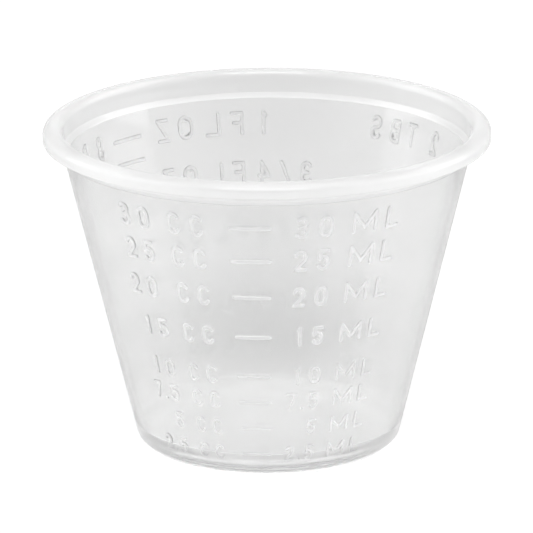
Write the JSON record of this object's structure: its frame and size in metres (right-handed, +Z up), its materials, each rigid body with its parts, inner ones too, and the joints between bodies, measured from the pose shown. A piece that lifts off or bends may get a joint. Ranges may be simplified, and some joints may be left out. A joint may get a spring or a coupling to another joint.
{
  "type": "medicine cup",
  "caption": "Small tapered medicine cup with a rounded lip, a stacking collar and a raised volume scale, moulded in one piece of translucent plastic.",
  "frame": {"origin": "centre of the foot ring, on the plane the cup stands on", "axes": "+Z up along the cup's axis, towards its mouth; -Y is the front, where the millilitre scale is"},
  "size_m": [0.05, 0.05, 0.0367],
  "materials": {
    "translucent_polypropylene": "natural translucent polypropylene, smooth moulded surface"
  },
  "bodies": {
    "root": {"cup": "translucent_polypropylene"}
  },
  "joints": []
}
